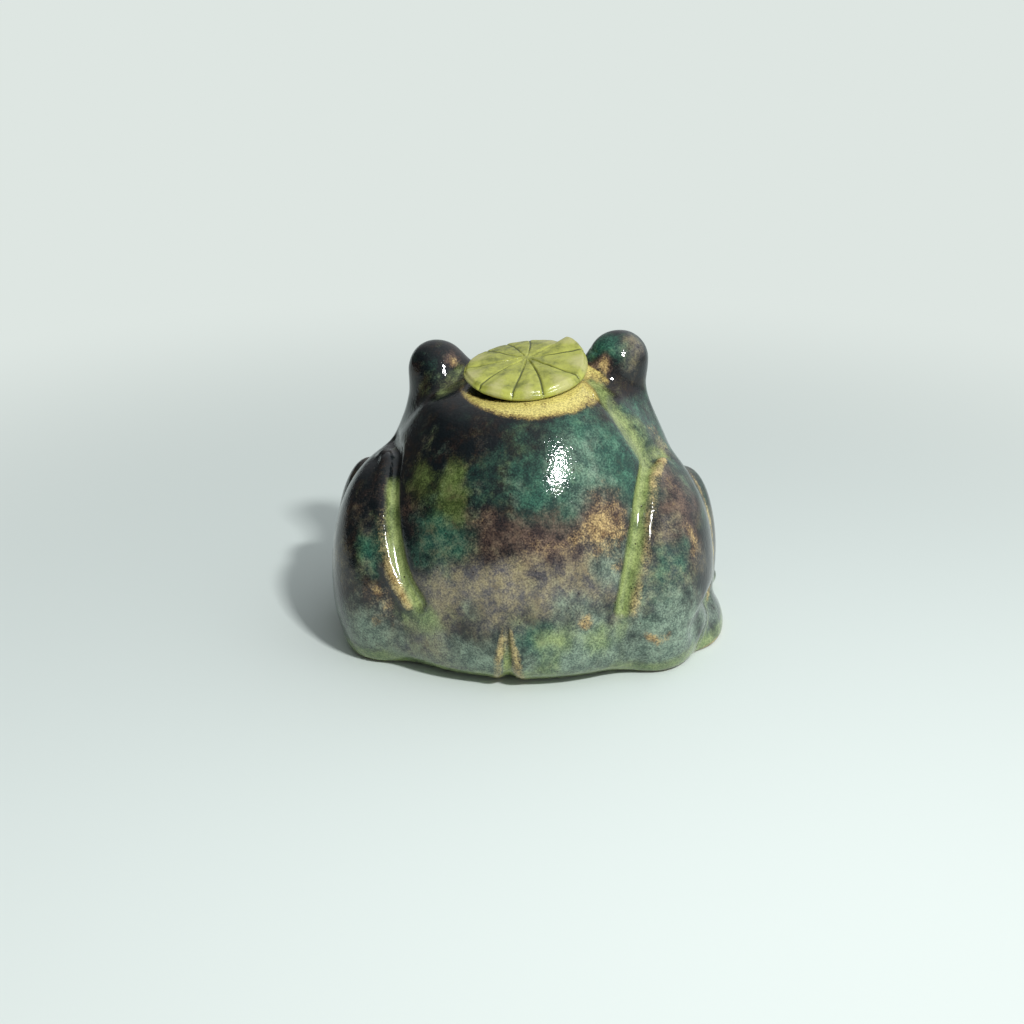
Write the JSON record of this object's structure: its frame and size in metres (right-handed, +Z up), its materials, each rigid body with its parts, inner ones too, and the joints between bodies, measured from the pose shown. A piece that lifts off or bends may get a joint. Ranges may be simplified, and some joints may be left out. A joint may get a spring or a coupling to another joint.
{
  "type": "lidded frog jar",
  "caption": "Hand-built stoneware frog jar with a round hollow body, folded legs and bulb eyes, closed by a loose lily pad lid with a locating ring under it.",
  "frame": {"origin": "middle of the flat base, on the table", "axes": "+Z up, the frog faces -Y, its own left side is +X"},
  "size_m": [0.1143, 0.1117, 0.0864],
  "materials": {
    "mottled_glaze": "gloss",
    "leaf_glaze": "gloss"
  },
  "bodies": {
    "frog": {"jar_body": "mottled_glaze", "left_eye": "mottled_glaze", "left_thigh": "mottled_glaze", "left_shin": "mottled_glaze", "left_hind_foot": "mottled_glaze", "left_hind_toes": "mottled_glaze", "left_foreleg": "mottled_glaze", "left_fore_toes": "mottled_glaze", "right_eye": "mottled_glaze", "right_thigh": "mottled_glaze", "right_shin": "mottled_glaze", "right_hind_foot": "mottled_glaze", "right_hind_toes": "mottled_glaze", "right_foreleg": "mottled_glaze", "right_fore_toes": "mottled_glaze"},
    "lid": {"lily_pad": "leaf_glaze", "lid_ring": "leaf_glaze"}
  },
  "joints": [
    {"name": "lid_lift", "type": "slide", "parent": "frog", "child": "lid", "axis": [0.1035, 0.1384, 0.9849], "range_m": [0, 0.045]}
  ]
}
